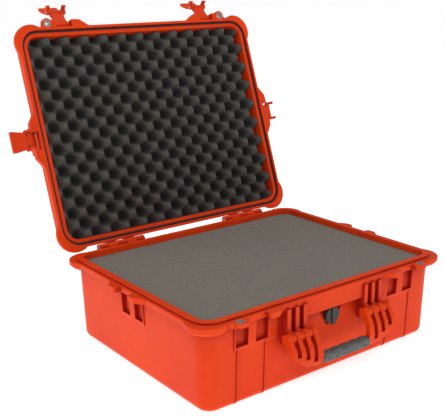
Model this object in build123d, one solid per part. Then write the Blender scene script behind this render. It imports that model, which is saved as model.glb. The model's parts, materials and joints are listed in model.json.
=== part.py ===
"""Hard equipment case, lid open: injection-moulded shells, double-throw latches, folding handle, foam.

Millimetres, +Z up. The front (latch and handle side) faces -Y. The origin is the centre of the
underside, where the case stands. The lid group is modelled shut and then swung open on the rear hinge.
"""
import math
import os

from build123d import *

# ---- overall sizes ----
opening_length = 544.0  # clear opening at the rim, along X
opening_width = 419.0  # clear opening at the rim, along Y
opening_corner = 24.0  # plan radius of the opening's corners
base_height = 163.0  # underside to the parting plane
lid_height = 57.0  # parting plane to the top of the stacking pads
lid_open_angle = 109.6  # lid swing from shut to its stop

# ---- shell walls ----
wall = 8.0  # side wall of base and lid
floor = 5.0  # base floor and lid top
draft = 2.0  # moulding draft of the side walls, degrees
base_edge_radius = 14.0  # outside bottom edge of the base
inner_edge_radius = 9.0  # inside bottom edges
lid_edge_radius = 11.0  # outside top edge of the lid
pad_height = 2.0  # stacking pads on the lid
pad_radius = 20.0
pad_inset = 62.0  # pad centres in from the opening's edge
lid_panel_height = 4.0  # raised panels on the lid

# ---- rims and seal ----
rim_reach = 18.0  # rim outer face beyond the opening
rim_depth = 10.5  # height of the base rim's outer face
rim_slope = 7.0  # height of the slope under each rim
lid_rim_depth = 12.0
parting_gap = 0.5  # base ledge to lid skirt, shut
lip_rise = 3.5  # raised lip of the base above the parting plane
lip_width = 11.6
skirt_gap = 0.4  # lip side to lid skirt
seal_width = 5.0
seal_height = 3.6
seal_gap = 0.3  # lip top to the seal, shut
bumper_reach = 25.0  # corner bumpers beyond the opening
bumper_radius = 38.0
bumper_band = 8.5  # upright height of each bumper
bumper_slope = 6.5  # height of its sloped underside
bumper_draw = 6.0  # how far that underside draws in
rim_chamfer = 1.2

# ---- rear hinges ----
hinge_reach = 26.0  # hinge axis beyond the opening
hinge_centre = 161.0  # middle of each hinge from the centre line
hinge_length = 108.0
hinge_knuckle_radius = 7.5
hinge_knuckles = 5
hinge_pin_radius = 2.5
hinge_web = 10.0  # height of the web from rim to knuckle
hinge_wall_gap = 0.4  # between neighbouring knuckles, and web to the other shell

# ---- latches ----
latch_spacing = 364.0  # between the two front latches
latch_width = 42.0  # width of the lever's finger end
latch_pivot_reach = 25.0  # both latch pivots beyond the opening, shut
latch_pivot_rise = 15.0  # link pivot above the parting plane
latch_link_length = 33.0
latch_barrel_radius = 5.0
latch_pin_radius = 2.0
latch_finger = 40.0  # lever pivot to the finger end
latch_plate = 4.5  # thickness of the finger plate
hook_width = 5.5
knuckle_half = 8.8  # half the length of the lever's middle knuckle
link_gap = 0.4  # link to the lever's knuckle and hooks, each side
pin_seat = 6.0  # depth of a link pin in the lid's ears
hook_tip_reach = 10.0  # hook tip beyond the opening, shut
hook_gap = 0.6  # hook to the catch above it, shut
ear_gap = 0.4  # link to ear, each side
ear_width = 10.0
ear_reach = 32.0
fairing_length = 38.0  # taper of each ear's fairing along the rim
pocket_width = 26.0
pocket_height = 42.5
pocket_column = 16.7  # rib between the two pockets
pocket_back = 1.5  # back of the pockets beyond the opening
catch_drop = 2.0  # pocket ceiling below the rim
housing_rib = 3.0  # outer ribs beside the pockets
housing_sill = 2.0  # height of the housing below its pockets
housing_proud = 2.5  # face of the housing outside the wall, under the rim
housing_foot = 12.0  # height of the slope from the sill back to the wall
rib_spacing = 60.0  # slim ribs below each front latch
rib_width = 2.4
rib_proud = 1.6
running_gap = 0.05  # radial clearance of moving pins

# link and lever angles from shut, as they stand with the lid open
latch_pose = {
    "front_left": (112.0, 38.0),
    "front_right": (112.0, 38.0),
    "side_left": (35.0, 52.0),
    "side_right": (112.0, 34.0),
}

# ---- padlock protectors ----
padlock_spacing = 440.0
padlock_hole_radius = 4.0
sleeve_wall = 3.0
sleeve_flange_radius = 8.0
sleeve_flange = 2.5
padlock_boss_radius = 11.5
padlock_boss_depth = 7.5

# ---- handle ----
handle_bracket = 93.5  # middle of each bracket from the centre line
knuckle_pitch = 18.7  # between neighbouring handle bars, or neighbouring ribs
bar_width = 9.0
rib_gap = 0.5  # handle bar to bracket rib
handle_pivot_reach = 28.5
handle_pivot_drop = 60.0  # handle pivot below the parting plane
handle_drop = 60.0  # pivot to the bottom of the grip
handle_knuckle_radius = 9.5
rib_reach = 22.5  # front edge of the bracket ribs
rib_eye_radius = 8.5
handle_pin_radius = 2.5
grip_half = 56.0
grip_rise = 5.5  # underside of the grip above the handle's bottom
grip_height = 16.0
bar_cover = 2.5  # grip over and under the core bar
handle_swing = 110.0
recess_margin = 0.9  # handle arm to the edge of its recess
band_height = 24.0  # plain raised band between the handle brackets

# ---- purge valve ----
valve_drop = 52.0  # valve axis below the parting plane
valve_recess_reach = 3.0  # floor of the valve recess beyond the opening
valve_flange_radius = 14.0
valve_flange = 5.0
valve_neck_radius = 6.5
valve_spigot_radius = 4.5
valve_spigot = 4.5
valve_seal_width = 3.5
valve_seal_height = 1.6
nut_across_flats = 22.0
nut_height = 5.0
knob_radius = 16.0
knob_plate = 6.0
knob_ridge = 3.0
knob_ridge_width = 8.0
knob_clearance = 0.4

# ---- foam ----
foam_gap = 0.6  # foam to shell
foam_recess = 11.0  # top of the base foam below the lip's top
foam_pad = 15.0  # bottom pad thickness
foam_layer_gap = 0.4
foam_lid_recess = 5.0  # lid foam peaks behind the parting plane
foam_relief_radius = 17.0

# ---- worked-out places ----
wall_top = base_height - rim_depth - rim_slope
rim_bottom = base_height - rim_depth
lip_top = base_height + lip_rise
root = wall / 2  # ribs and blocks start this deep in the wall
hinge_y = opening_width / 2 + hinge_reach
valve_y = -opening_width / 2
valve_height = base_height - valve_drop
handle_pivot_height = base_height - handle_pivot_drop
handle_bottom = handle_pivot_height - handle_drop
lever_drop = latch_link_length - latch_pivot_rise
lever_half = latch_width / 2
link_neck_half = lever_half - hook_width - link_gap
link_half = link_neck_half + 2.2
ear_inner = link_half + ear_gap
pad_clear = 1.5  # lever side to the base's fairings
pocket_catch = -rim_depth - catch_drop  # pocket ceiling from the parting plane
pocket_floor = pocket_catch - pocket_height
front = Pos(0, -opening_width / 2, 0)

latch_places = {
    "front_left": Pos(-latch_spacing / 2, -opening_width / 2, base_height),
    "front_right": Pos(latch_spacing / 2, -opening_width / 2, base_height),
    "side_left": Pos(-opening_length / 2, 0, base_height) * Rot(0, 0, -90),
    "side_right": Pos(opening_length / 2, 0, base_height) * Rot(0, 0, 90),
}
lid_swing = Pos(0, hinge_y, base_height) * Rot(-lid_open_angle, 0, 0) * Pos(0, -hinge_y, -base_height)


# ---- shapes used throughout: "reach" is the distance outwards, along -Y in a local frame ----
def outline(reach):
    """The opening's rounded rectangle grown outwards by reach."""
    return RectangleRounded(
        opening_length + 2 * reach, opening_width + 2 * reach, opening_corner + reach
    )


def ring_slab(reach, z_low, z_high):
    return extrude(Pos(0, 0, z_low) * outline(reach), z_high - z_low)


def tapered(reach, z_start, z_end, taper):
    """A slab that starts at reach and draws in by taper degrees on its way to z_end."""
    way = (0, 0, 1) if z_end > z_start else (0, 0, -1)
    return extrude(Pos(0, 0, z_start) * outline(reach), abs(z_end - z_start), dir=way, taper=taper)


def block(x_low, x_high, reach_low, reach_high, z_low, z_high):
    return Pos((x_low + x_high) / 2, -(reach_low + reach_high) / 2, (z_low + z_high) / 2) * Box(
        x_high - x_low, reach_high - reach_low, z_high - z_low
    )


def barrel(reach, z, radius, x_low, x_high):
    """A cylinder along X."""
    return Pos((x_low + x_high) / 2, -reach, z) * Rot(0, 90, 0) * Cylinder(radius, x_high - x_low)


def side_plate(points, x_low, x_high, rounding=0.0):
    """A plate across X whose side outline is given as (reach, height) points."""
    face = make_face(Polyline([(-reach, z) for reach, z in points], close=True))
    if rounding:
        face = fillet(face.vertices(), rounding)
    return extrude(Plane.YZ.offset(x_low) * face, x_high - x_low)


def plan_plate(points, z_low, z_high):
    """A plate whose plan outline is given as (x, reach) points."""
    face = make_face(Polyline([(x, -reach) for x, reach in points], close=True))
    return extrude(Pos(0, 0, z_low) * face, z_high - z_low)


def both_sides(shape):
    return shape + mirror(shape, about=Plane.YZ)


def ring(radius, bore, reach_low, reach_high):
    """A tube along Y."""
    length = reach_high - reach_low
    tube = Cylinder(radius, length) - Cylinder(bore, length) if bore else Cylinder(radius, length)
    return Pos(0, -(reach_low + reach_high) / 2, 0) * Rot(90, 0, 0) * tube


# ---- rims, bumpers and hinges ----
def corner_bumpers(z_parting, way):
    """Four rounded bumpers that stand out at the rim's corners."""
    x = opening_length / 2 + bumper_reach - bumper_radius
    y = opening_width / 2 + bumper_reach - bumper_radius
    slope = Cone(bumper_radius, bumper_radius - bumper_draw, bumper_slope)
    bumper = Pos(0, 0, bumper_band / 2) * Cylinder(bumper_radius, bumper_band)
    bumper += Pos(0, 0, bumper_band + bumper_slope / 2) * slope
    bumper = chamfer(bumper.edges().filter_by(GeomType.CIRCLE).sort_by(Axis.Z)[0], rim_chamfer)
    if way < 0:
        bumper = mirror(bumper, about=Plane.XY)
    return [Pos(sx * x, sy * y, z_parting) * bumper for sx in (-1, 1) for sy in (-1, 1)]


def rim(z_parting, depth, way):
    """The rim's upright band and the slope from it back to the wall, with a chamfered free edge."""
    end = z_parting + way * depth
    band = ring_slab(rim_reach, min(z_parting, end), max(z_parting, end))
    band = chamfer(band.edges().group_by(Axis.Z)[0 if way > 0 else -1], rim_chamfer)
    angle = math.degrees(math.atan((rim_reach - wall) / rim_slope))
    return [band, tapered(rim_reach, end, end + way * rim_slope, angle)]


def knuckle_spans(side):
    """The X span of each knuckle of one hinge, from its outer end."""
    pitch = hinge_length / hinge_knuckles
    start = side * hinge_centre - hinge_length / 2
    gap = hinge_wall_gap / 2
    return [(start + i * pitch + gap, start + (i + 1) * pitch - gap) for i in range(hinge_knuckles)]


def hinge_knuckle_set(first, way, bore):
    """Knuckles first, first + 2, ... of both hinges, each with a web back to its own rim."""
    pieces = []
    web_low = way * hinge_wall_gap
    web_high = way * hinge_web
    z_low, z_high = sorted((base_height + web_low, base_height + web_high))
    for side in (-1, 1):
        for x_low, x_high in knuckle_spans(side)[first::2]:
            web = block(x_low, x_high, -hinge_reach - hinge_knuckle_radius + 1, -rim_reach + 6, z_low, z_high)
            eye = barrel(-hinge_reach, base_height, hinge_knuckle_radius, x_low, x_high)
            hole = barrel(-hinge_reach, base_height, bore, x_low, x_high)
            pieces.append(Pos(0, opening_width / 2, 0) * (web + eye - hole))
    return pieces


# ---- base shell ----
def housing_plate(x_low, x_high):
    """Latch frame: a band a little outside the wall that leans back to it below the pockets."""
    sill = pocket_floor - housing_sill
    profile = [
        (root, -rim_depth), (wall + housing_proud, -rim_depth), (wall, sill), (root, sill - housing_foot),
    ]
    return side_plate(profile, x_low, x_high)


def hook_pockets():
    """Latch frame: the room of the two pockets that the hooks reach into."""
    inner = pocket_column / 2
    return both_sides(block(inner, inner + pocket_width, pocket_back, ear_reach, pocket_floor, pocket_catch))


def fairing(inner, z_low, z_high):
    """Latch frame: the tapered shoulders on the rim, either side of the latch."""
    back = rim_reach - root
    points = [
        (inner, back), (inner, ear_reach - 3), (inner + 3, ear_reach), (inner + ear_width + 8, ear_reach - 0.5),
        (inner + fairing_length, rim_reach), (inner + fairing_length, back),
    ]
    return both_sides(plan_plate(points, z_low, z_high))


def padlock_boss(z_low, z_high):
    """Round bosses for the padlock sleeves, outboard of the front latches."""
    boss = Pos(0, -latch_pivot_reach, (z_low + z_high) / 2) * Cylinder(padlock_boss_radius, z_high - z_low)
    return [front * Pos(side * padlock_spacing / 2, 0, 0) * boss for side in (-1, 1)]


def sleeve_seats(z_low, z_high, z_flange_low, z_flange_high):
    """The holes that the padlock sleeves drop into."""
    bore = Cylinder(padlock_hole_radius + sleeve_wall, z_high - z_low)
    seat = Cylinder(sleeve_flange_radius, z_flange_high - z_flange_low)
    cut = Pos(0, -latch_pivot_reach, (z_low + z_high) / 2) * bore
    cut += Pos(0, -latch_pivot_reach, (z_flange_low + z_flange_high) / 2) * seat
    return [front * Pos(side * padlock_spacing / 2, 0, 0) * cut for side in (-1, 1)]


def bracket_ribs():
    """Front frame: three ribs of each handle bracket, with eyes for the handle pin."""
    offsets = [-knuckle_pitch, 0, knuckle_pitch]
    width = knuckle_pitch - bar_width - 2 * rib_gap
    ribs = []
    for offset in offsets:
        x_low = handle_bracket + offset - width / 2
        x_high = x_low + width
        plate = side_plate(
            [(root, rim_bottom + 1), (rib_reach, rim_bottom + 1), (rib_reach, handle_pivot_height + 12),
             (handle_pivot_reach + 5, handle_pivot_height + 6), (handle_pivot_reach, handle_pivot_height - 7),
             (root, handle_pivot_height - 17)],
            x_low, x_high,
        )
        plate += barrel(handle_pivot_reach, handle_pivot_height, rib_eye_radius, x_low, x_high)
        plate -= barrel(handle_pivot_reach, handle_pivot_height, handle_pin_radius, x_low, x_high)
        ribs.append(plate)
    return both_sides(Part() + ribs)


def front_band():
    """Front frame: the plain raised band between the handle brackets, under the rim."""
    half = handle_bracket - knuckle_pitch
    return block(-half, half, root, rim_reach, rim_bottom - band_height, rim_bottom + 1)


def bracket_cheeks():
    """Front frame: the housings carried on to the handle brackets, leaving room for the outer bars."""
    bar_outer = handle_bracket + 1.5 * knuckle_pitch + bar_width / 2 + recess_margin
    housing_inner = latch_spacing / 2 - pocket_column / 2 - pocket_width
    return both_sides(Pos(0, 0, base_height) * housing_plate(bar_outer, housing_inner))


def valve_recess():
    """Front frame: the tapered hollow behind the purge knob."""
    top = rim_bottom - band_height
    bottom = valve_height - valve_flange_radius - 4
    half = valve_flange_radius + 3
    shape = make_face(Polyline(
        [(-half - 14, top), (half + 14, top), (half, valve_height - 4), (half * 0.6, bottom),
         (-half * 0.6, bottom), (-half, valve_height - 4)], close=True,
    ))
    return Pos(0, -valve_recess_reach, 0) * extrude(Plane.XZ * shape, 20)


def wall_skin(proud):
    """The base's walls and floor, proud millimetres thicker than the real wall."""
    skin = tapered(wall + proud, rim_bottom, 0, draft)
    return fillet(skin.edges().group_by(Axis.Z)[0], base_edge_radius)


def slim_ribs():
    """Pairs of slim upright ribs below the two front latches."""
    ribbed = wall_skin(rib_proud)
    centres = [side * latch_spacing / 2 + end * rib_spacing / 2 for side in (-1, 1) for end in (-1, 1)]
    return [
        ribbed & front * block(x - rib_width / 2, x + rib_width / 2, -housing_foot, bumper_reach, 0, rim_bottom)
        for x in centres
    ]


def base_shell():
    z_top = base_height - parting_gap
    additions = rim(z_top, rim_depth - parting_gap, -1)
    additions += corner_bumpers(z_top, -1)
    additions += padlock_boss(z_top - padlock_boss_depth, z_top)
    additions += slim_ribs()
    half = pocket_column / 2 + pocket_width + housing_rib
    for place in latch_places.values():
        additions.append(place * housing_plate(-half, half))
        additions.append(place * fairing(lever_half + pad_clear, -rim_depth, -parting_gap))
    shell = wall_skin(0) + additions
    shell += [front * front_band(), front * bracket_cheeks(), front * bracket_ribs()]
    shell += hinge_knuckle_set(0, -1, hinge_pin_radius)
    lip = ring_slab(lip_width, rim_bottom, lip_top)
    shell += chamfer(lip.edges().group_by(Axis.Z)[-1], 1.0)
    cavity = tapered(0, lip_top, floor, draft)
    shell -= fillet(cavity.edges().group_by(Axis.Z)[0], inner_edge_radius)
    shell -= [place * hook_pockets() for place in latch_places.values()]
    shell -= sleeve_seats(rim_bottom, z_top, z_top - sleeve_flange, z_top)
    shell -= front * valve_recess()
    shell -= Pos(0, valve_y, valve_height) * ring(valve_neck_radius, 0, -20, 10)
    shell -= Pos(0, valve_y, valve_height) * ring(nut_across_flats / 2 + 3, 0, -20, valve_nut_reach())
    return shell


def valve_nut_reach():
    """The flat spot-face inside the wall, just clear of the drafted inner face."""
    return -(lip_top - valve_height) * math.tan(math.radians(draft)) + 0.9


# ---- lid shell, shut ----
def lid_ear():
    """Latch frame: the pair of ears that hold the link's pin."""
    high = latch_pivot_rise + 9
    ears = side_plate(
        [(root, 0), (ear_reach, 0), (ear_reach, high - 6), (ear_reach - 6, high), (root, high + 7)],
        ear_inner, ear_inner + ear_width,
    )
    ears = both_sides(ears) + fairing(ear_inner, 0, lid_rim_depth)
    return ears - latch_pin_hole()


def latch_pin_hole():
    """Latch frame: blind in one ear, open through the other for fitting the pin."""
    return barrel(
        latch_pivot_reach, latch_pivot_rise, latch_pin_radius, -ear_inner - pin_seat, ear_inner + fairing_length
    )


def lid_shell():
    top = base_height + lid_height - pad_height - lid_panel_height
    shell = tapered(wall, base_height + lid_rim_depth, top, draft)
    shell = fillet(shell.edges().group_by(Axis.Z)[-1], lid_edge_radius)
    additions = rim(base_height, lid_rim_depth, 1)
    additions += corner_bumpers(base_height, 1)
    additions += padlock_boss(base_height, base_height + padlock_boss_depth)
    additions += [place * lid_ear() for place in latch_places.values()]
    additions += lid_panels(top)
    shell += additions
    shell += hinge_knuckle_set(1, 1, hinge_pin_radius + running_gap)
    shell -= ring_slab(lip_width + skirt_gap, base_height, lip_top + parting_gap)
    shell -= seal_space(lip_top + parting_gap - 1, seal_top())
    cavity = tapered(0, base_height, top - floor, draft)
    shell -= fillet(cavity.edges().group_by(Axis.Z)[-1], inner_edge_radius)
    shell -= sleeve_seats(
        base_height, base_height + lid_rim_depth + rim_slope, base_height, base_height + sleeve_flange
    )
    return shell


def lid_panels(top):
    """Three raised panels across the lid, with stacking pads near the corners."""
    panel_length = (opening_length - 2 * pad_inset) / 3
    panel_width = opening_width - 60
    panels = []
    for i in (-1, 0, 1):
        panel = extrude(Pos(i * (panel_length + 14), 0, top - 1) * RectangleRounded(
            panel_length, panel_width, 16), lid_panel_height + 1)
        panels.append(chamfer(panel.edges().group_by(Axis.Z)[-1], 2.5))
    for sx in (-1, 1):
        for sy in (-1, 1):
            x = sx * (opening_length / 2 - pad_inset)
            y = sy * (opening_width / 2 - pad_inset)
            height = lid_panel_height + pad_height
            panels.append(Pos(x, y, top - 1 + (height + 1) / 2) * Cylinder(pad_radius, height + 1))
    return panels


def seal_top():
    return lip_top + seal_gap + seal_height


def seal_space(z_low, z_high):
    outer = lip_width + skirt_gap
    return ring_slab(outer, z_low, z_high) - ring_slab(outer - seal_width, z_low, z_high)


def lid_seal():
    """The gasket in the lid's groove, its free edge rounded, clear of the shut base's lip."""
    outer = lip_width + skirt_gap - 0.1
    low = lip_top + seal_gap
    seal = ring_slab(outer, low, seal_top()) - ring_slab(outer - seal_width + 0.2, low, seal_top())
    return fillet(seal.edges().group_by(Axis.Z)[0], 1.2)


def padlock_sleeve(side, z_low, z_high, z_flange_low, z_flange_high):
    tube = Cylinder(padlock_hole_radius + sleeve_wall, z_high - z_low)
    flange = Cylinder(sleeve_flange_radius, z_flange_high - z_flange_low)
    hole = Cylinder(padlock_hole_radius, z_high - z_low)
    middle = (z_low + z_high) / 2
    sleeve = Pos(0, 0, middle) * tube + Pos(0, 0, (z_flange_low + z_flange_high) / 2) * flange
    sleeve -= Pos(0, 0, middle) * hole
    return front * Pos(side * padlock_spacing / 2, -latch_pivot_reach, 0) * sleeve


def hinge_pin(side):
    x_low = side * hinge_centre - hinge_length / 2 + 1
    return Pos(0, opening_width / 2, 0) * barrel(
        -hinge_reach, base_height, hinge_pin_radius, x_low, x_low + hinge_length - 2
    )


# ---- latches, shut, in the latch frame ----
def latch_link():
    """Hourglass link: a barrel between the lid's ears, two knuckles at the lever's pivot."""
    half = link_neck_half
    r = latch_barrel_radius
    reach = latch_pivot_reach
    bore = knuckle_half + link_gap
    relief = r + 0.6
    link = block(-half, half, reach - 3, reach + 3, -lever_drop, latch_pivot_rise)
    middle = (latch_pivot_rise - lever_drop) / 2
    link -= both_sides(block(half - 1.5, half + 5, reach - 8, reach + 8, middle - 7, middle + 7))
    link += barrel(reach, latch_pivot_rise, r + 0.5, -link_half, link_half)
    link += both_sides(barrel(reach, -lever_drop, r, bore, half))
    link -= barrel(reach, -lever_drop, relief, -bore, bore)
    link -= block(-bore, bore, reach - 8, reach + 8, -lever_drop - 8, -lever_drop)
    for z in (latch_pivot_rise, -lever_drop):
        link -= barrel(reach, z, latch_pin_radius + running_gap, -link_half - 1, link_half + 1)
    return link


def latch_lever():
    """Finger lever: curved ribbed plate, middle knuckle, and two cheeks that end in hooks."""
    reach = latch_pivot_reach
    r = latch_barrel_radius
    half = latch_width / 2
    z_pivot = -lever_drop
    z_end = z_pivot - latch_finger
    bow = Wire([
        ThreePointArc((-(reach + 4), z_pivot - 3), (-(reach + 6.5), z_pivot - 22), (-(reach + 3), z_end)),
        Line((-(reach + 3), z_end), (-(reach + 3 - latch_plate), z_end + 1.5)),
        ThreePointArc(
            (-(reach + 3 - latch_plate), z_end + 1.5), (-(reach + 2), z_pivot - 22), (-(reach - 2), z_pivot - 7)
        ),
        Line((-(reach - 2), z_pivot - 7), (-(reach + 4), z_pivot - 3)),
    ])
    plate = extrude(Plane.YZ.offset(-half) * make_face(bow), latch_width)
    flare = make_face(Polyline(
        [(-half, z_end - 5), (half, z_end - 5), (half, z_end + 9), (half - 3.5, z_pivot - 10),
         (half - 3.5, z_pivot + 8), (-half + 3.5, z_pivot + 8), (-half + 3.5, z_pivot - 10),
         (-half, z_end + 9)], close=True,
    ))
    plate &= Pos(0, -reach + 20, 0) * extrude(Plane.XZ * flare, 40)
    for step in range(3):
        plate += barrel(reach + 5.4, z_pivot - 17 - 6.5 * step, 1.8, -half + 3, half - 3)
    plate -= barrel(reach, z_pivot, r + 0.6, -half - 1, half + 1)
    lever = plate + barrel(reach, z_pivot, r, -knuckle_half, knuckle_half)
    lever += side_plate(
        [(reach - 3, z_pivot - 3), (reach + 4, z_pivot - 1), (reach + 4.5, z_pivot - 9), (reach - 2, z_pivot - 8.5)],
        -knuckle_half, knuckle_half,
    )
    tip = hook_tip_reach
    hook_top = pocket_catch - hook_gap
    cheek = barrel(reach, z_pivot, r, half - hook_width, half)
    cheek += side_plate(
        [(reach + 4.5, z_pivot - 2), (reach + 4.5, z_pivot - 9), (reach - 3, z_pivot - 9),
         (tip + 3, z_pivot - 5.5), (tip, z_pivot - 2), (tip, hook_top - 1), (tip + 1, hook_top),
         (tip + 3, hook_top), (tip + 5, z_pivot + 1), (reach - 3, z_pivot + 2)],
        half - hook_width, half,
    )
    lever += both_sides(cheek)
    return lever - barrel(reach, z_pivot, latch_pin_radius, -half - 1, half + 1)


def latch_hinge_pin():
    reach_x = ear_inner + pin_seat
    return barrel(latch_pivot_reach, latch_pivot_rise, latch_pin_radius, -reach_x, reach_x)


def latch_lever_pin():
    return barrel(latch_pivot_reach, -lever_drop, latch_pin_radius, -lever_half - 0.8, lever_half + 0.8)


def swing_out(z, angle):
    """Latch frame: turn outwards and up about the pivot at height z."""
    return Pos(0, -latch_pivot_reach, z) * Rot(-angle, 0, 0) * Pos(0, latch_pivot_reach, -z)


# ---- handle ----
def bar_spans():
    offsets = [(i - 1.5) * knuckle_pitch for i in range(4)]
    return [
        (handle_bracket + offset - bar_width / 2, handle_bracket + offset + bar_width / 2)
        for offset in offsets
    ]


def handle_sides():
    """Front frame: the handle's side section, bowed out from the pivot to the grip."""
    reach, top, bottom = handle_pivot_reach, handle_pivot_height, handle_bottom
    return [
        (reach + 9.5, top + 1), (reach + 20, top - 19), (reach + 23, bottom + 24), (reach + 21, bottom + 9),
        (reach + 14.5, bottom), (reach + 5.5, bottom), (reach + 12, bottom + 12), (reach + 13.5, bottom + 26),
        (reach + 9, top - 19), (reach - 3, top - 8.5),
    ]


def handle_frame():
    """U-shaped frame: slotted arms, knuckles at the brackets and a core bar inside the grip."""
    spans = bar_spans()
    inner, outer = spans[0][0], spans[-1][1]
    z = handle_bottom
    top = handle_pivot_height + handle_knuckle_radius
    bar_low, bar_high = z + grip_rise + bar_cover, z + grip_rise + grip_height - bar_cover
    half = [
        (0, bar_low), (grip_half, bar_low), (inner + 5, z + 4), (outer - 30, z + 10), (outer - 10, z + 25),
        (outer, z + 42), (outer, top), (inner, top), (inner, z + 44), (grip_half + 2, z + 31),
        (grip_half, bar_high), (0, bar_high),
    ]
    face = make_face(Polyline(half, close=True))
    face = face + mirror(face, about=Plane.YZ)
    front_shape = Pos(0, 10, 0) * extrude(Plane.XZ * face, 100)
    body = side_plate(handle_sides(), -outer, outer, 2.5) & front_shape
    knuckles = [
        barrel(handle_pivot_reach, handle_pivot_height, handle_knuckle_radius, x_low, x_high)
        for x_low, x_high in spans
    ]
    body += both_sides(Part() + knuckles)
    slot_ends = [z + 14, z + 23, z + 31]
    for (_, x_low), (x_high, _), slot_end in zip(spans, spans[1:], slot_ends):
        body -= both_sides(block(x_low, x_high, 0, 80, slot_end, top + 1))
    hole = barrel(
        handle_pivot_reach, handle_pivot_height, handle_pin_radius + running_gap, inner + 4, outer - 4
    )
    return body - both_sides(hole)


def handle_grip(frame):
    """Soft grip moulded round the core bar, arched on top."""
    low, high = handle_bottom + grip_rise, handle_bottom + grip_rise + grip_height
    arch = grip_height / 5
    face = make_face(Polyline(
        [(-grip_half, low), (grip_half, low), (grip_half, high - arch), (grip_half / 2, high), (-grip_half / 2, high),
         (-grip_half, high - arch)], close=True,
    ))
    face = fillet(face.vertices(), arch)
    front_shape = Pos(0, 10, 0) * extrude(Plane.XZ * face, 100)
    near, far = handle_pivot_reach + 7, handle_pivot_reach + 25.5
    section = [(far, high), (far, low + 4), (far - 4, low), (near, low), (near, high)]
    grip = side_plate(section, -grip_half, grip_half, arch) & front_shape
    return grip - frame


def handle_pin(side):
    spans = bar_spans()
    x_low, x_high = sorted((side * (spans[0][0] + 4), side * (spans[-1][1] - 4)))
    return barrel(handle_pivot_reach, handle_pivot_height, handle_pin_radius, x_low, x_high)


# ---- purge valve, along Y in its own frame ----
def valve_seal():
    low = valve_recess_reach
    outer = valve_flange_radius - 2
    return ring(outer, outer - valve_seal_width, low, low + valve_seal_height)


def valve_body():
    low = valve_recess_reach
    flange_top = low + valve_flange
    inner = valve_nut_reach() - nut_height - 2
    body = ring(valve_flange_radius, 0, low, flange_top) + ring(valve_neck_radius, 0, inner, low)
    body += ring(valve_spigot_radius, 0, flange_top, flange_top + valve_spigot)
    outer = valve_flange_radius - 2
    return body - ring(outer, outer - valve_seal_width, low, low + valve_seal_height)


def valve_nut():
    high = valve_nut_reach()
    hexagon = RegularPolygon(nut_across_flats / 2, 6, major_radius=False) - Circle(valve_neck_radius)
    return Pos(0, -high, 0) * extrude(Plane.XZ * hexagon, -nut_height)


def purge_knob():
    """Round cap with a grip ridge, turning on the valve's spigot."""
    low = valve_recess_reach + valve_flange + knob_clearance
    high = low + knob_plate
    cap = ring(knob_radius, 0, low, high)
    cap = chamfer(cap.edges().filter_by(GeomType.CIRCLE).sort_by(Axis.Y)[0], 1.2)
    ridge = block(-knob_ridge_width / 2, knob_ridge_width / 2, high - 1, high + knob_ridge,
                  -knob_radius + 1, knob_radius - 1)
    ridge &= ring(knob_radius - 0.8, 0, low, high + knob_ridge)
    spigot = ring(
        valve_spigot_radius + running_gap, 0, low - 1, low + valve_spigot
    )
    return cap + ridge - spigot


# ---- foam ----
def foam_layer(z_low, z_high):
    """One layer of the base's foam, following the drafted cavity."""
    cavity = tapered(-foam_gap, lip_top, floor + foam_gap, draft)
    cavity = fillet(cavity.edges().group_by(Axis.Z)[0], inner_edge_radius + 1)
    layer = cavity & block(-opening_length, opening_length, -opening_width, opening_width, z_low, z_high)
    relief = Pos(0, valve_y, valve_height) * ring(foam_relief_radius, 0, -nut_height - 8, 5)
    return layer - relief


def lid_foam():
    top = base_height + lid_height - pad_height - lid_panel_height - floor - foam_gap
    cavity = tapered(-foam_gap, base_height, top, draft)
    cavity = fillet(cavity.edges().group_by(Axis.Z)[-1], inner_edge_radius + 1)
    return cavity & block(
        -opening_length, opening_length, -opening_width, opening_width, base_height + foam_lid_recess, top + 1
    )


# ---- assembly ----
def base_nodes():
    z_top = base_height - parting_gap
    foam_top = lip_top - foam_recess
    foam_start = floor + foam_gap + foam_pad
    foam_split = (foam_start + foam_top) / 2
    nodes = {
        "base_shell": base_shell(),
        "base_foam_pad": foam_layer(floor + foam_gap, foam_start),
        "base_foam_lower": foam_layer(foam_start + foam_layer_gap, foam_split),
        "base_foam_upper": foam_layer(foam_split + foam_layer_gap, foam_top),
    }
    for side, word in ((-1, "left"), (1, "right")):
        nodes["hinge_pin_" + word] = hinge_pin(side)
        nodes["padlock_sleeve_base_" + word] = padlock_sleeve(
            side, z_top - padlock_boss_depth, z_top, z_top - sleeve_flange, z_top
        )
    return nodes


def valve_nodes():
    place = Pos(0, valve_y, valve_height)
    return {
        "purge_valve_body": place * valve_body(),
        "purge_valve_seal": place * valve_seal(),
        "purge_valve_nut": place * valve_nut(),
        "purge_knob": place * purge_knob(),
    }


def handle_nodes():
    frame = handle_frame()
    return {
        "handle_frame": front * frame,
        "handle_grip": front * handle_grip(frame),
        "handle_pin_left": front * handle_pin(-1),
        "handle_pin_right": front * handle_pin(1),
    }


def lid_nodes():
    """Everything that swings with the lid, shut."""
    z_top = base_height + padlock_boss_depth
    nodes = {"lid_shell": lid_shell(), "lid_seal": lid_seal(), "lid_foam": lid_foam()}
    for side, word in ((-1, "left"), (1, "right")):
        nodes["padlock_sleeve_lid_" + word] = padlock_sleeve(
            side, base_height, z_top, base_height, base_height + sleeve_flange
        )
    link, lever = latch_link(), latch_lever()
    for name, place in latch_places.items():
        link_angle, lever_angle = latch_pose[name]
        link_place = place * swing_out(latch_pivot_rise, link_angle)
        lever_place = link_place * swing_out(-lever_drop, lever_angle)
        nodes["latch_hinge_pin_" + name] = place * latch_hinge_pin()
        nodes["latch_link_" + name] = link_place * link
        nodes["latch_lever_" + name] = lever_place * lever
        nodes["latch_lever_pin_" + name] = lever_place * latch_lever_pin()
    return nodes


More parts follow.
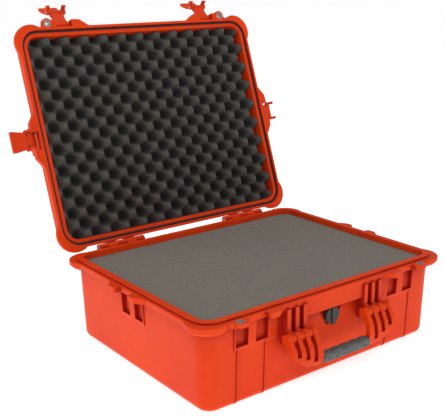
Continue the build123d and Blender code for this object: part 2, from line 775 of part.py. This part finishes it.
def main():
    os.makedirs("parts", exist_ok=True)
    nodes = base_nodes() | valve_nodes() | handle_nodes()
    nodes |= {name: lid_swing * shape for name, shape in lid_nodes().items()}
    for name, shape in nodes.items():
        export_step(shape, f"parts/{name}.step")


main()
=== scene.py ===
import json
import math
import bpy
import bmesh
from mathutils import Matrix, Vector, noise


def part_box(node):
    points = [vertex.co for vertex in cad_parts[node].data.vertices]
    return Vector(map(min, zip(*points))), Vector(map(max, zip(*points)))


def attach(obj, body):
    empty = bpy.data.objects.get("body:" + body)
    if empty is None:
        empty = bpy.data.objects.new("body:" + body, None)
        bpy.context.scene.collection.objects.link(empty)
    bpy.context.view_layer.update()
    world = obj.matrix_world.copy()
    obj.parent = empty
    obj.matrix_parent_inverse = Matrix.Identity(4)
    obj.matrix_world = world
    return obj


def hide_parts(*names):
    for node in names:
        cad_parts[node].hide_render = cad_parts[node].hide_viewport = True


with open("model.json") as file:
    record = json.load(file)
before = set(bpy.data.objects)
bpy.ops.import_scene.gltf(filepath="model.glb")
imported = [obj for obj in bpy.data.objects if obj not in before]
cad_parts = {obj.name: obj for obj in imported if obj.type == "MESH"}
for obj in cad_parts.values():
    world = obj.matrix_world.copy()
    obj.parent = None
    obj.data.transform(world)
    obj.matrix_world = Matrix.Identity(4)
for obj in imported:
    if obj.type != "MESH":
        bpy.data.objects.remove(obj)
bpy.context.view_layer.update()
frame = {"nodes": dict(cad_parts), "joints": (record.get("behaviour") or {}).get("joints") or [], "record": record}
print("case frame loaded:", len(frame["nodes"]), "nodes")

mm = 0.001


class Wire:  # a socket that can be used in sums
    def __init__(self, finish, socket):
        self.finish = finish
        self.socket = socket

    def reckon(self, operation, first, second):
        return self.finish.node("ShaderNodeMath", {"operation": operation}, {0: first, 1: second})

    def __add__(self, other):
        return self.reckon("ADD", self, other)

    def __radd__(self, other):
        return self.reckon("ADD", other, self)

    def __rsub__(self, other):
        return self.reckon("SUBTRACT", other, self)

    def __mul__(self, other):
        return self.reckon("MULTIPLY", self, other)

    def __rmul__(self, other):
        return self.reckon("MULTIPLY", other, self)


class Finish:  # one material while it is being built
    def __init__(self, name, settings):
        self.material = bpy.data.materials.new(name)
        self.material.use_nodes = True
        self.tree = self.material.node_tree
        self.shader = self.tree.nodes["Principled BSDF"]
        for socket, value in settings.items():
            self.shader.inputs[socket].default_value = value
        self.place = self.node("ShaderNodeTexCoord", {}, {}, "Object")

    def node(self, kind, settings, sockets, output=0):
        made = self.tree.nodes.new(kind)
        for name, value in settings.items():
            if name == "stops":
                self.setStops(made.color_ramp, value)
            else:
                setattr(made, name, value)
        for name, value in sockets.items():
            if isinstance(value, Wire):
                self.tree.links.new(value.socket, made.inputs[name])
            else:
                made.inputs[name].default_value = value
        return Wire(self, made.outputs[output])

    def setStops(self, ramp, stops):
        while len(ramp.elements) < len(stops):
            ramp.elements.new(1.0)
        for element, (position, shade) in zip(ramp.elements, stops):
            element.position = position
            element.color = (shade, shade, shade, 1.0)

    def grain(self, scale, detail=2.0, roughness=0.5, stretch=None):
        place = self.place
        if stretch:
            place = self.node("ShaderNodeMapping", {}, {"Vector": place, "Scale": stretch})
        return self.node("ShaderNodeTexNoise", {"noise_dimensions": "3D"}, {
            "Vector": place, "Scale": scale, "Detail": detail, "Roughness": roughness}, "Fac")

    def cells(self, scale, feature="F1"):
        return self.node("ShaderNodeTexVoronoi", {"feature": feature}, {
            "Vector": self.place, "Scale": scale}, "Distance")

    def ramp(self, factor, stops):
        return self.node("ShaderNodeValToRGB", {"stops": stops}, {"Fac": factor}, "Color")

    def blend(self, factor, first, second):  # a colour Mix takes its colours at sockets 6 and 7
        sockets = {0: factor, 6: first, 7: second}
        return self.node("ShaderNodeMix", {"data_type": "RGBA"}, sockets, 2)

    def bump(self, height, distance, strength=1.0, normal=None):
        sockets = {"Height": height, "Distance": distance, "Strength": strength}
        if normal:
            sockets["Normal"] = normal
        return self.node("ShaderNodeBump", {}, sockets, "Normal")

    def edgeMask(self, radius):  # the rounded normal, and how far it leans from the true one
        rounded = self.node("ShaderNodeBevel", {"samples": 4}, {"Radius": radius}, "Normal")
        flat = self.node("ShaderNodeNewGeometry", {}, {}, "Normal")
        agreement = self.node("ShaderNodeVectorMath", {"operation": "DOT_PRODUCT"},
                              {0: rounded, 1: flat}, "Value")
        return rounded, 1 - agreement

    def openness(self, reach):  # 1 on open faces, lower down in hollows; it drives the painted shade in recesses and pits
        settings = {"samples": 6, "only_local": True}
        return self.node("ShaderNodeAmbientOcclusion", settings, {"Distance": reach}, "AO")

    def feed(self, socket, wire):
        self.tree.links.new(wire.socket, self.shader.inputs[socket])


shellLook = {
    "colour": (0.80, 0.060, 0.005, 1.0),
    "deepColour": (0.72, 0.042, 0.004, 1.0),  # in the flow streaks
    "wornColour": (0.84, 0.14, 0.045, 1.0),
    # painted shade: the plastic is darkened in pockets, slots and other hollows, where the lamps leave shade
    "paintedShadeColour": (0.36, 0.008, 0.006, 1.0),
    "paintedShadeReach": 45 * mm,
    "paintedShadeShare": 0.95,
    "specular": 0.12,
    "roughness": 0.40,
    "grainScale": 1400.0,
    "grainDepth": 0.06 * mm,
    "grainStrength": 0.8,
    "flowScale": 9.0,
    "scuffScale": 70.0,
    "scuffStretch": (1.0, 1.0, 3.5),
    "scuffShare": 0.10,
    "wearScale": 160.0,
    "wearGain": 3.0,
    "wearShare": 0.45,
    "edgeRadius": 0.9 * mm,
}


def mouldedPlastic(name, look):
    finish = Finish(name, {"IOR": 1.5, "Specular IOR Level": look["specular"]})
    rounded, lean = finish.edgeMask(look["edgeRadius"])
    pebble = finish.grain(look["grainScale"], 3.0, 0.6)
    flow = finish.grain(look["flowScale"], 4.0, 0.55)
    scuffs = finish.ramp(finish.grain(look["scuffScale"], 6.0, 0.7, look["scuffStretch"]),
                         ((0.60, 0.0), (0.74, 1.0)))
    chips = 0.4 + finish.grain(look["wearScale"], 4.0, 0.7)
    worn = finish.ramp(lean * chips * look["wearGain"], ((0.12, 0.0), (0.75, 1.0)))
    streaks = finish.ramp(flow, ((0.30, 0.0), (0.72, 1.0)))
    body = finish.blend(streaks, look["deepColour"], look["colour"])
    marks = scuffs * look["scuffShare"] + worn * look["wearShare"]
    marked = finish.blend(marks, body, look["wornColour"])
    # painted shade: ambient occlusion darkens the colour in hollows to stand in for their shade
    hollow = finish.ramp(finish.openness(look["paintedShadeReach"]), ((0.60, 1.0), (0.93, 0.0)))
    shade = finish.blend(hollow * look["paintedShadeShare"], marked, look["paintedShadeColour"])
    finish.feed("Base Color", shade)
    finish.feed("Roughness", look["roughness"] + 0.10 * flow + 0.12 * scuffs)
    relief = finish.bump(pebble, look["grainDepth"], look["grainStrength"], rounded)
    finish.feed("Normal", relief)
    return finish.material


steelLook = {
    "colour": (0.62, 0.60, 0.56, 1.0),
    "tarnishColour": (0.36, 0.33, 0.29, 1.0),
    "tarnishScale": 240.0,
    "roughness": 0.30,
    "latheScale": 900.0,
    "latheStretch": (6.0, 1.0, 1.0),  # turning marks run round the X axis
    "latheDepth": 0.03 * mm,
}


def turnedSteel(name, look):
    finish = Finish(name, {"Metallic": 1.0})
    lathe = finish.grain(look["latheScale"], 2.0, 0.6, look["latheStretch"])
    tarnish = finish.grain(look["tarnishScale"], 4.0, 0.6)
    finish.feed("Base Color", finish.blend(tarnish, look["colour"], look["tarnishColour"]))
    finish.feed("Roughness", look["roughness"] + 0.22 * tarnish)
    finish.feed("Normal", finish.bump(lathe, look["latheDepth"]))
    return finish.material


knobLook = {
    "colour": (0.018, 0.021, 0.021, 1.0),
    # real dust, and a painted highlight along the edges
    "dustAndEdgeHighlightColour": (0.06, 0.065, 0.065, 1.0),
    "dustScale": 120.0,
    "roughness": 0.36,
    "grainScale": 1900.0,
    "grainDepth": 0.04 * mm,
    "grainStrength": 0.8,
    "edgeRadius": 0.6 * mm,
}


def knobPlastic(name, look):
    finish = Finish(name, {"Specular IOR Level": 0.5})
    rounded, lean = finish.edgeMask(look["edgeRadius"])
    pebble = finish.grain(look["grainScale"], 2.0, 0.6)
    dust = finish.grain(look["dustScale"], 5.0, 0.65)
    # dust in random patches, and a painted highlight that lightens every edge
    shade = finish.blend(dust * 0.5 + lean, look["colour"], look["dustAndEdgeHighlightColour"])
    finish.feed("Base Color", shade)
    finish.feed("Roughness", look["roughness"] + 0.2 * dust)
    relief = finish.bump(pebble, look["grainDepth"], look["grainStrength"], rounded)
    finish.feed("Normal", relief)
    return finish.material


gripLook = {
    "colour": (0.050, 0.056, 0.055, 1.0),
    "rubbedColour": (0.135, 0.148, 0.142, 1.0),
    "rubScale": 150.0,
    "roughness": 0.62,
    "pebbleScale": 900.0,
    "pebbleDepth": 0.12 * mm,
}


def gripRubber(name, look):
    finish = Finish(name, {"Specular IOR Level": 0.35})
    pebble = finish.cells(look["pebbleScale"], "SMOOTH_F1")
    rubbed = finish.ramp(finish.grain(look["rubScale"], 6.0, 0.75), ((0.35, 0.0), (0.68, 1.0)))
    finish.feed("Base Color", finish.blend(rubbed, look["colour"], look["rubbedColour"]))
    finish.feed("Roughness", look["roughness"] - 0.15 * rubbed)
    finish.feed("Normal", finish.bump(pebble, look["pebbleDepth"]))
    return finish.material


sealLook = {
    "colour": (0.012, 0.009, 0.009, 1.0),
    "bloomColour": (0.026, 0.020, 0.019, 1.0),
    "bloomScale": 90.0,
    "roughness": 0.5,
    "grainScale": 1600.0,
    "grainDepth": 0.03 * mm,
}


def sealRubber(name, look):
    finish = Finish(name, {"Specular IOR Level": 0.4})
    bloom = finish.grain(look["bloomScale"], 4.0, 0.6)
    finish.feed("Base Color", finish.blend(bloom, look["colour"], look["bloomColour"]))
    finish.feed("Roughness", look["roughness"] + 0.2 * bloom)
    finish.feed("Normal", finish.bump(finish.grain(look["grainScale"]), look["grainDepth"]))
    return finish.material


foamLook = {  # what both foams share
    "roughness": 0.98,
    "poreScale": 620.0,
    "poreDepth": 0.4 * mm,
    "fineScale": 1500.0,
    "fleckScale": 260.0,
    "cloudScale": 14.0,
}
baseFoamLook = {
    **foamLook,
    "light": (0.235, 0.210, 0.176, 1.0),
    "dark": (0.108, 0.096, 0.080, 1.0),
    # painted shade for the pits and cuts
    "paintedPitShade": (0.030, 0.026, 0.022, 1.0),
    "paintedPitShadeReach": 15 * mm,
}
lidFoamLook = {
    **foamLook,
    "light": (0.120, 0.109, 0.097, 1.0),
    "dark": (0.040, 0.036, 0.032, 1.0),
    # painted shade for the pits, deeper in the egg crate
    "paintedPitShade": (0.007, 0.0065, 0.006, 1.0),
    "paintedPitShadeReach": 30 * mm,
}


def openCellFoam(name, look):
    finish = Finish(name, {"Specular IOR Level": 0.12, "Sheen Weight": 0.08,
                           "Sheen Roughness": 0.6})
    pores = finish.cells(look["poreScale"])
    fine = finish.grain(look["fineScale"], 3.0, 0.7)
    cloud = finish.grain(look["cloudScale"], 4.0, 0.6)
    struts = finish.ramp(pores + 0.25 * fine, ((0.15, 0.0), (0.62, 1.0)))
    fleck = finish.ramp(finish.grain(look["fleckScale"], 5.0, 0.75), ((0.36, 0.0), (0.64, 1.0)))
    tone = struts * 0.40 + fleck * 0.45 + cloud * 0.15
    # painted shade: ambient occlusion darkens the foam towards its pit colour in the pits and cuts
    depth = finish.ramp(finish.openness(look["paintedPitShadeReach"]), ((0.35, 1.0), (0.92, 0.0)))
    surface = finish.blend(tone, look["dark"], look["light"])
    finish.feed("Base Color", finish.blend(depth, surface, look["paintedPitShade"]))
    finish.feed("Roughness", look["roughness"] - 0.08 * struts)
    finish.feed("Normal", finish.bump(struts + 0.5 * fine, look["poreDepth"]))
    return finish.material


finishes = {
    "shell": mouldedPlastic("orange_shell", shellLook),
    "latch": mouldedPlastic("orange_latch", dict(shellLook, roughness=0.36, grainScale=2200.0)),
    "grip": gripRubber("grip_rubber", gripLook),
    "knob": knobPlastic("knob_black", knobLook),
    "seal": sealRubber("seal_rubber", sealLook),
    "steel": turnedSteel("pin_steel", steelLook),
    "base_foam": openCellFoam("base_foam_grey", baseFoamLook),
    "lid_foam": openCellFoam("lid_foam_charcoal", lidFoamLook),
}


def dressNodes():
    for part in frame["record"]["subparts"]:
        node = frame["nodes"][part["node"]]
        node.data.materials.clear()
        node.data.materials.append(finishes[part["material_slot"]])


dressNodes()
print("finishes on the moulded and metal parts")


def lidFromShut():  # turns a piece modelled with the lid shut to where the lid stands
    hinge = next(joint for joint in frame["joints"] if joint["name"] == "lid_hinge")
    spot, axis = Vector(hinge["pos_m"]), Vector(hinge["axis"])
    turn = Matrix.Rotation(-math.radians(hinge["range_deg"][0]), 4, axis)
    return Matrix.Translation(spot) @ turn @ Matrix.Translation(-spot)


def placeMesh(name, shape):
    mesh = bpy.data.meshes.new(name)
    shape.to_mesh(mesh)
    shape.free()
    made = bpy.data.objects.new(name, mesh)
    bpy.context.scene.collection.objects.link(made)
    return made


def finishPiece(name, shape, slot):
    bmesh.ops.recalc_face_normals(shape, faces=shape.faces[:])
    piece = placeMesh(name, shape)
    for face in piece.data.polygons:
        face.use_smooth = True
    piece.data.materials.append(finishes[slot])
    return piece


def roundCorners(verts, halfLength, halfWidth, radius):  # bends a grid's corners, with rows kept
    for vert in verts:
        inX = abs(vert.co.x) - (halfLength - radius)
        inY = abs(vert.co.y) - (halfWidth - radius)
        if inX > 0 and inY > 0:
            shrink = max(inX, inY) / math.hypot(inX, inY)
            vert.co.x = math.copysign(halfLength - radius + inX * shrink, vert.co.x)
            vert.co.y = math.copysign(halfWidth - radius + inY * shrink, vert.co.y)


foamBlock = {
    "length": 542.8 * mm,  # at the lip's top, inside the gap all round
    "width": 417.8 * mm,
    "corner": 23.4 * mm,
    "lipTop": 166.5 * mm,
    "draft": math.tan(math.radians(2.0)),
    "step": 4.5 * mm,  # grid of the layers
    "edgeSoftness": 3.0 * mm,  # at most, where the grid is wide enough
    "edgeSegments": 4,
    "sag": 0.9 * mm,  # gentle waviness of a cut face
    "sagScale": 11.0,
    "sagSpread": 40.0,  # so that each layer waves in its own way
}
baseLayers = {  # lowest and highest level of each layer
    "base_foam_pad": (5.6 * mm, 20.6 * mm),
    "base_foam_lower": (21.0 * mm, 88.0 * mm),
    "base_foam_upper": (88.4 * mm, 155.5 * mm),
}


def drawIn(vert, depth):  # moves a point in with the mould's draft
    lean = depth * foamBlock["draft"]
    vert.co.x *= 1 - 2 * lean / foamBlock["length"]
    vert.co.y *= 1 - 2 * lean / foamBlock["width"]


def foamSheet(step):
    length, width = foamBlock["length"], foamBlock["width"]
    rows, columns = round(width / step), round(length / step)
    shape = bmesh.new()
    bmesh.ops.create_grid(shape, x_segments=columns, y_segments=rows, size=0.5)
    bmesh.ops.scale(shape, vec=(length, width, 1), verts=shape.verts)
    roundCorners(shape.verts, length / 2, width / 2, foamBlock["corner"])
    return shape


nutRelief = {
    "margin": 4 * mm,  # round the nut
    "depth": 34 * mm,
    "overshoot": 6 * mm,  # past the nut, out through the foam's side
    "segments": 48,
}


def carveRelief(piece):  # room in the foam for the valve's nut
    low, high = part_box("purge_valve_nut")
    centre = (Vector(low) + Vector(high)) / 2
    radius, depth = (high[0] - low[0]) / 2 + nutRelief["margin"], nutRelief["depth"]
    spot = (centre.x, high[1] - depth / 2 + nutRelief["overshoot"], centre.z)
    upright = Matrix.Rotation(math.pi / 2, 3, "X")
    shape = bmesh.new()
    bmesh.ops.create_cone(shape, cap_ends=True, segments=nutRelief["segments"],
                          radius1=radius, radius2=radius, depth=depth)
    bmesh.ops.rotate(shape, cent=(0, 0, 0), matrix=upright, verts=shape.verts)
    bmesh.ops.translate(shape, vec=spot, verts=shape.verts)
    cutter = placeMesh("relief_cutter", shape)
    cut = piece.modifiers.new("relief", "BOOLEAN")
    cut.operation, cut.solver, cut.object = "DIFFERENCE", "EXACT", cutter
    carved = piece.evaluated_get(bpy.context.evaluated_depsgraph_get())
    carvedMesh = bpy.data.meshes.new_from_object(carved)
    piece.modifiers.clear()
    piece.data = carvedMesh
    bpy.data.objects.remove(cutter)


def buildBaseLayer(node, low, high):
    block = foamBlock
    shape = foamSheet(block["step"])
    rim = [edge for edge in shape.edges if edge.is_boundary]
    raised = bmesh.ops.extrude_face_region(shape, geom=shape.faces[:])["geom"]
    top = {part for part in raised if isinstance(part, bmesh.types.BMVert)}
    for vert in shape.verts:
        level = high if vert in top else low
        drawIn(vert, block["lipTop"] - level)
        spot = Vector((vert.co.x * block["sagScale"], vert.co.y * block["sagScale"],
                       level * block["sagSpread"]))
        dip = abs(noise.noise(spot)) * block["sag"]
        vert.co.z = level - dip if vert in top else level
    bmesh.ops.bevel(shape, geom=rim, offset=block["edgeSoftness"], offset_type="OFFSET",
                    affect="EDGES", segments=block["edgeSegments"], profile=0.5, material=-1,
                    clamp_overlap=True)
    piece = finishPiece(node + "_cut", shape, "base_foam")
    if node == "base_foam_upper":
        carveRelief(piece)
    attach(piece, "base")
    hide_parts(node)


eggCrate = {
    "pitch": 45.0 * mm,  # between peaks in one row, with the next row staggered
    "peak": 168.0 * mm,  # heights with the lid shut
    "valley": 197.0 * mm,
    "back": 208.4 * mm,
    "step": 2.6 * mm,
    "shift": 22.5 * mm,  # of the rows along X
    "flank": 0.9,  # below 1 the domes are broader than the pits
    "shoulder": 0.75,
    "drift": 1.4 * mm,  # how far a dome wanders from its place
    "driftScale": 9.0,
    "roughness": 0.45 * mm,
    "roughScale": 160.0,
}


def swell(angle):  # a cosine with squarer shoulders
    height = math.cos(angle)
    return math.copysign(abs(height) ** eggCrate["shoulder"], height)


def crateLevel(x, y):  # height of the egg-crate face with the lid shut
    crate = eggCrate
    turn = 2 * math.pi / crate["pitch"]
    wander = Vector((x * crate["driftScale"], y * crate["driftScale"], 3.0))
    drift = noise.noise_vector(wander) * crate["drift"]
    dome = 0.5 + 0.5 * swell(turn * (x + drift.x)) * swell(turn * (y + drift.y))
    rough = noise.noise(Vector((x * crate["roughScale"], y * crate["roughScale"], 1.0)))
    rise = (crate["peak"] - crate["valley"]) * dome ** crate["flank"]
    return crate["valley"] + rise + abs(rough) * crate["roughness"]


def buildLidFoam():
    crate = eggCrate
    shape = foamSheet(crate["step"])
    rim = [edge for edge in shape.edges if edge.is_boundary]
    for vert in shape.verts:
        vert.co.z = crateLevel(vert.co.x + crate["shift"], vert.co.y)
    walls = bmesh.ops.extrude_edge_only(shape, edges=rim)["geom"]
    backRim = [part for part in walls if isinstance(part, bmesh.types.BMEdge)]
    for vert in {part for part in walls if isinstance(part, bmesh.types.BMVert)}:
        vert.co.z = crate["back"]
        drawIn(vert, crate["back"] - crate["peak"])
    bmesh.ops.contextual_create(shape, geom=backRim)
    bmesh.ops.transform(shape, matrix=lidFromShut(), verts=shape.verts)
    piece = finishPiece("lid_foam_egg_crate", shape, "lid_foam")
    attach(piece, "lid")
    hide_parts("lid_foam")


gripShape = {
    "halfLength": 57.0 * mm,
    "thickness": 18.4 * mm,
    "height": 16.4 * mm,
    "sink": 0.2 * mm,  # how far the sleeve reaches below the core bar's box
    "squareness": 4.0,  # of the section: 2 is an ellipse, higher is boxier
    "bumps": 5,
    "bumpHeight": 2.2 * mm,
    "bumpBreadth": 0.7,  # below 1 the bumps are broader than the hollows
    "bumpFade": 3,  # how fast a bump dies out down the sides
    "endRounding": 4.0 * mm,
    "endTaper": 0.34,
    "stations": 96,
    "around": 40,
}


def buildGrip():  # moulded sleeve round the handle's core bar, with a finger hollow between bumps
    grip = gripShape
    low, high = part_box("handle_grip")
    middle = (low[1] + high[1]) / 2
    halfWidth, halfHeight = grip["thickness"] / 2, grip["height"] / 2
    centre = low[2] - grip["sink"] + halfHeight
    shape = bmesh.new()
    ring = bmesh.ops.create_circle(shape, segments=grip["around"], radius=1.0)["verts"]
    edges = shape.edges[:]
    rings = [ring]
    for _ in range(grip["stations"]):
        grown = bmesh.ops.extrude_edge_only(shape, edges=edges)["geom"]
        edges = [part for part in grown if isinstance(part, bmesh.types.BMEdge)
                 and part.verts[0] not in rings[-1] and part.verts[1] not in rings[-1]]
        rings.append([part for part in grown if isinstance(part, bmesh.types.BMVert)])
    power = 2 / grip["squareness"]
    for index, ring in enumerate(rings):
        along = -1 + 2 * index / grip["stations"]
        x = (math.sin(along * math.pi / 2) + along) * grip["halfLength"] / 2
        fromEnd = grip["halfLength"] - abs(x)
        near = max(0.0, 1 - fromEnd / grip["endRounding"])
        shrink = 1 - grip["endTaper"] * (1 - math.sqrt(max(0.0, 1 - near * near)))
        phase = (x / grip["halfLength"]) * grip["bumps"] * math.pi / 2
        bump = grip["bumpHeight"] * abs(math.cos(phase)) ** grip["bumpBreadth"]
        for vert in ring:
            across, up = vert.co.x, vert.co.y
            across = math.copysign(abs(across) ** power, across) * halfWidth * shrink
            up = math.copysign(abs(up) ** power, up) * halfHeight * shrink
            lift = bump * max(0.0, up / halfHeight) ** grip["bumpFade"]
            vert.co = (x, middle + across, centre + up + lift)
    for ring in (rings[0], rings[-1]):
        bmesh.ops.contextual_create(shape, geom=ring)
    piece = finishPiece("handle_grip_moulded", shape, "grip")
    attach(piece, "handle")
    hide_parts("handle_grip")


for layer, (layerLow, layerHigh) in baseLayers.items():
    buildBaseLayer(layer, layerLow, layerHigh)
buildLidFoam()
buildGrip()
print("foam and grip in place")


studio = {
    "floorSize": 60.0,
    "floorCells": 4,
    "floorColour": (0.90, 0.90, 0.90, 1.0),
    "fibreColour": (0.88, 0.88, 0.88, 1.0),
    "fibreScale": 300.0,
    "floorGlow": 0.70,
    "white": (1.0, 1.0, 1.0, 1.0),
    "airStrength": 0.32,
    "wallStrength": 1.0,
}


def buildFloor():
    cells = studio["floorCells"]
    shape = bmesh.new()
    bmesh.ops.create_grid(shape, x_segments=cells, y_segments=cells, size=studio["floorSize"] / 2)
    floor = placeMesh("studio_floor", shape)
    finish = Finish("floor_paper", {"Roughness": 0.9, "Specular IOR Level": 0.1,
                                    "Emission Color": studio["white"],
                                    "Emission Strength": studio["floorGlow"]})
    fibre = finish.grain(studio["fibreScale"], 4.0)
    shade = finish.blend(fibre, studio["floorColour"], studio["fibreColour"])
    finish.feed("Base Color", shade)
    floor.data.materials.append(finish.material)


def buildWorld():  # soft light all round, with a white wall behind the floor's edge
    world = bpy.data.worlds.new("studio_air")
    bpy.context.scene.world = world
    world.use_nodes = True
    tree = world.node_tree
    air = tree.nodes["Background"]
    wall = tree.nodes.new("ShaderNodeBackground")
    for shader, strength in ((air, studio["airStrength"]), (wall, studio["wallStrength"])):
        shader.inputs["Color"].default_value = studio["white"]
        shader.inputs["Strength"].default_value = strength
    ray = tree.nodes.new("ShaderNodeLightPath")
    mix = tree.nodes.new("ShaderNodeMixShader")
    tree.links.new(ray.outputs["Is Camera Ray"], mix.inputs[0])
    tree.links.new(air.outputs[0], mix.inputs[1])
    tree.links.new(wall.outputs[0], mix.inputs[2])
    tree.links.new(mix.outputs[0], tree.nodes["World Output"].inputs["Surface"])


softboxes = {  # metres and watts, each turned to face its target
    "key_softbox": {
        "place": (-1.6, -2.4, 2.6), "target": (0, 0, 0.25), "size": (1.8, 1.4), "power": 38},
    "top_softbox": {
        "place": (0.3, 0.2, 2.8), "target": (0, 0, 0.2), "size": (2.4, 2.4), "power": 22},
    "side_softbox": {
        "place": (-2.6, 1.4, 1.1), "target": (0, 0, 0.2), "size": (1.6, 1.6), "power": 17},
    "fill_softbox": {
        "place": (2.4, -1.8, 1.2), "target": (0, 0, 0.2), "size": (1.6, 1.6), "power": 4},
}


def buildLights():
    for name, softbox in softboxes.items():
        lamp = bpy.data.lights.new(name, "AREA")
        lamp.shape = "RECTANGLE"
        lamp.size, lamp.size_y = softbox["size"]
        lamp.energy = softbox["power"]
        holder = bpy.data.objects.new(name, lamp)
        holder.location = softbox["place"]
        reach = Vector(softbox["target"]) - Vector(softbox["place"])
        holder.rotation_euler = reach.to_track_quat("-Z", "Y").to_euler()
        bpy.context.scene.collection.objects.link(holder)


view = {
    "place": (-977.4 * mm, -1186.3 * mm, 692.6 * mm),
    "azimuth": -37.22,  # degrees from looking along +Y
    "elevation": 15.71,
    "roll": -0.64,
    "lens": 66.64,
    "sensor": 36.0,
    "clip": (0.01, 100.0),
}


def buildCamera():
    camera = bpy.data.cameras.new("studio_camera")
    camera.sensor_fit = "HORIZONTAL"
    camera.sensor_width = view["sensor"]
    camera.lens = view["lens"]
    camera.clip_start, camera.clip_end = view["clip"]
    holder = bpy.data.objects.new("studio_camera", camera)
    azimuth, elevation = math.radians(view["azimuth"]), math.radians(view["elevation"])
    back = Vector((math.sin(azimuth) * math.cos(elevation),
                   -math.cos(azimuth) * math.cos(elevation),
                   math.sin(elevation)))
    level = Vector((math.cos(azimuth), math.sin(azimuth), 0))
    right = Matrix.Rotation(math.radians(view["roll"]), 3, back) @ level
    turn = Matrix((right, back.cross(right), back)).transposed().to_4x4()
    holder.matrix_world = Matrix.Translation(view["place"]) @ turn
    bpy.context.scene.collection.objects.link(holder)
    bpy.context.scene.camera = holder


buildFloor()
buildWorld()
buildLights()
buildCamera()
bpy.context.scene.view_settings.view_transform = "Standard"
print("floor, lights and camera in place")
